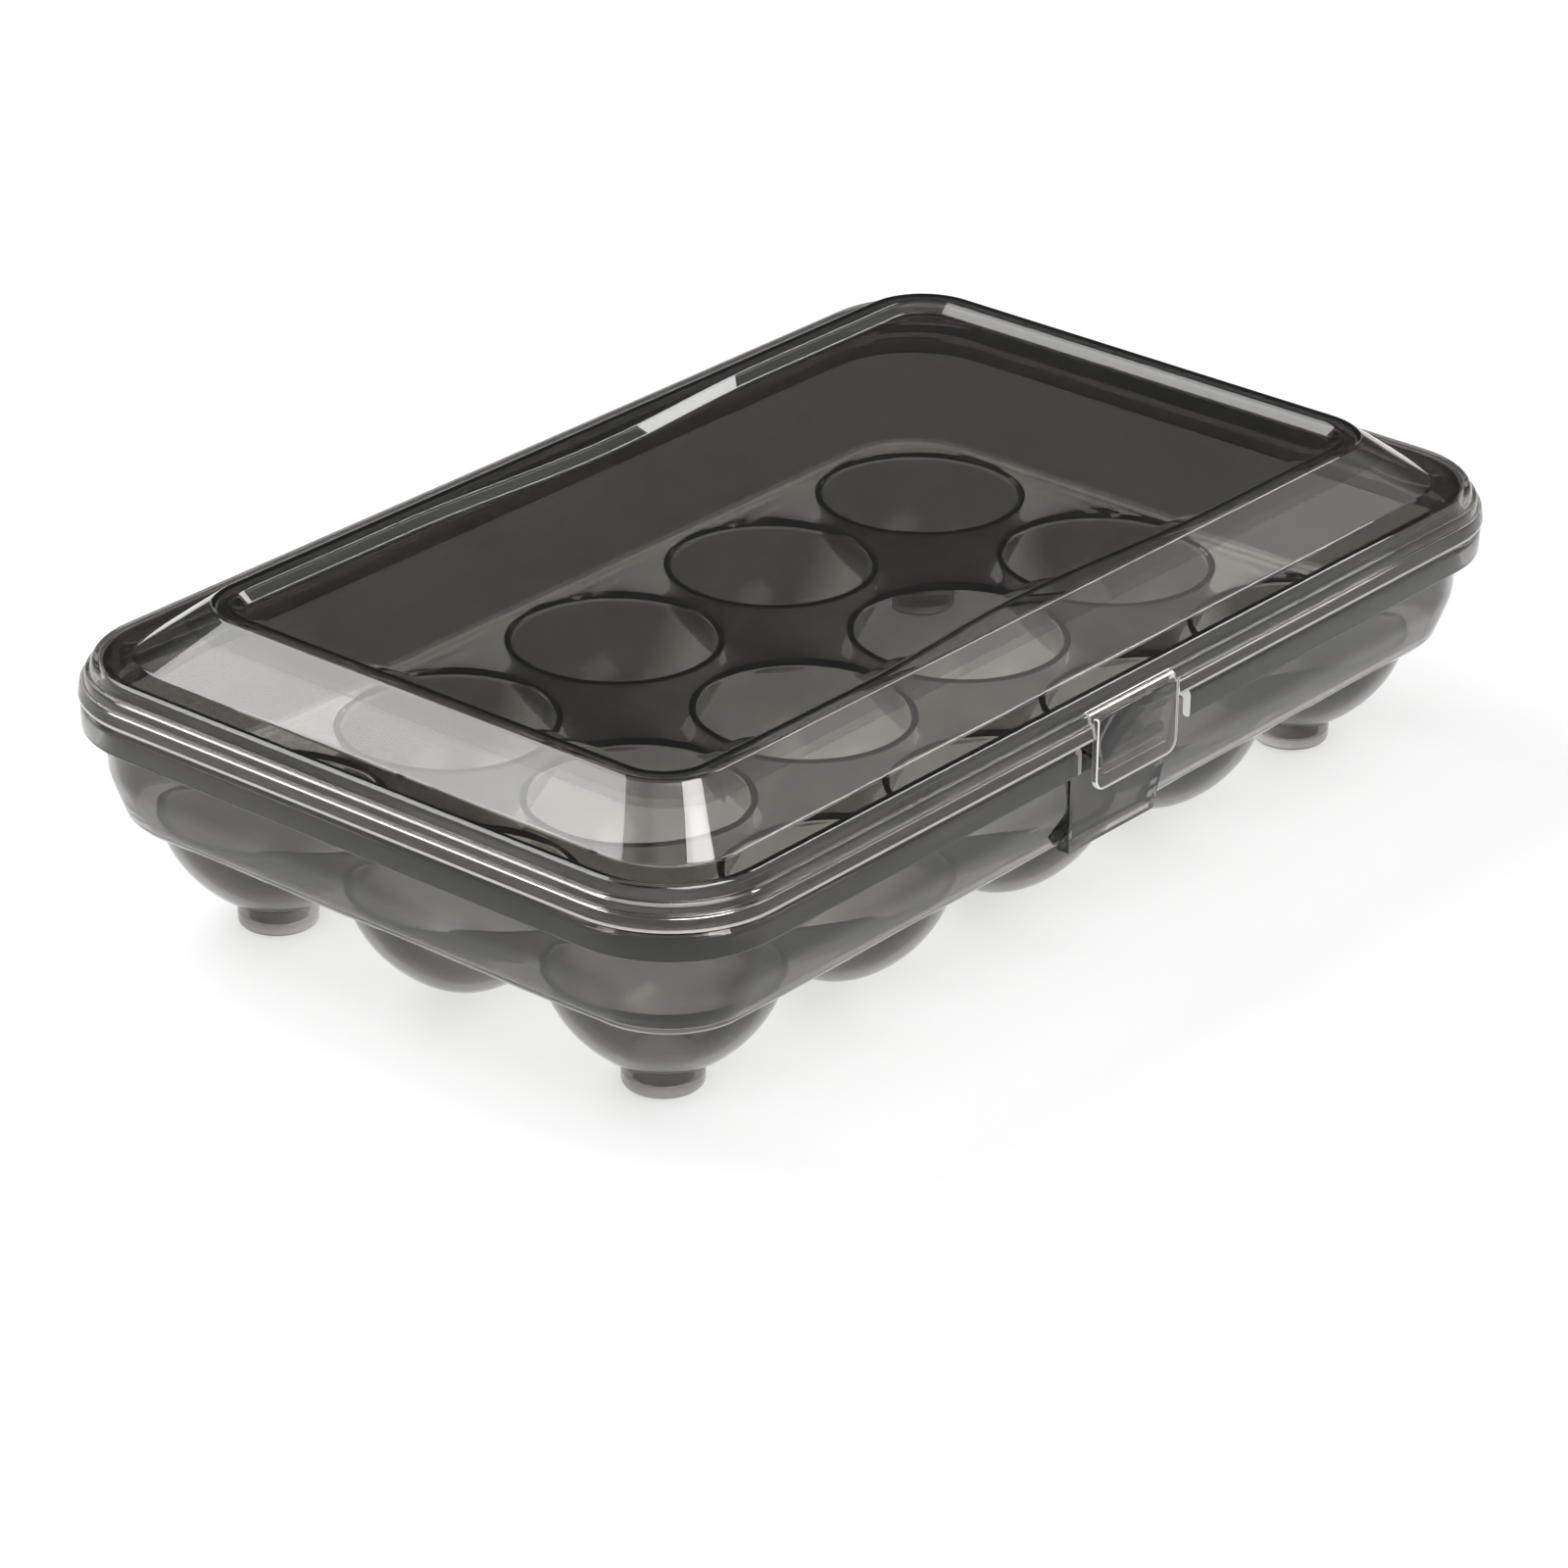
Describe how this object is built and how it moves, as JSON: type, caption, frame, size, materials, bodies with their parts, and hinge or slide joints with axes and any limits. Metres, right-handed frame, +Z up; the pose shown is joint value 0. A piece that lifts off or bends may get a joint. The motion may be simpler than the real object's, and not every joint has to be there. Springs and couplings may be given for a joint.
{
  "type": "covered egg holder tray",
  "caption": "Smoke-grey clear plastic egg tray of round cups on short feet, with a lift-off raised lid held by a snap tab at the front.",
  "frame": {"origin": "centre of the footprint, on the plane of the undersides of the feet", "axes": "+X along the long side, +Y across to the back long side, +Z up"},
  "size_m": [0.2786, 0.1746, 0.071],
  "materials": {
    "tray_plastic": "clear smoke-grey moulded plastic, polished",
    "lid_plastic": "clear smoke-grey moulded plastic, polished"
  },
  "bodies": {
    "tray": {"tray_deck": "tray_plastic", "tray_wall": "tray_plastic", "tray_rim": "tray_plastic", "tray_catch": "tray_plastic", "cup_r1_c1": "tray_plastic", "cup_r1_c2": "tray_plastic", "cup_r1_c3": "tray_plastic", "cup_r1_c4": "tray_plastic", "cup_r1_c5": "tray_plastic", "cup_r2_c1": "tray_plastic", "cup_r2_c2": "tray_plastic", "cup_r2_c3": "tray_plastic", "cup_r2_c4": "tray_plastic", "cup_r2_c5": "tray_plastic", "cup_r3_c1": "tray_plastic", "cup_r3_c2": "tray_plastic", "cup_r3_c3": "tray_plastic", "cup_r3_c4": "tray_plastic", "cup_r3_c5": "tray_plastic"},
    "lid": {"lid_skirt": "lid_plastic", "lid_wall": "lid_plastic", "lid_panel": "lid_plastic"},
    "tab": {"lid_tab": "lid_plastic"}
  },
  "joints": [
    {"name": "lid_lift", "type": "slide", "parent": "tray", "child": "lid", "axis": [0, 0, 1], "range_m": [0, 0.08]},
    {"name": "tab_flex", "type": "hinge", "parent": "lid", "child": "tab", "pos_m": [0, -0.0866, 0.0565], "axis": [-1, 0, 0], "range_deg": [0, 12], "stiffness_Nm_per_rad": 0.2}
  ]
}
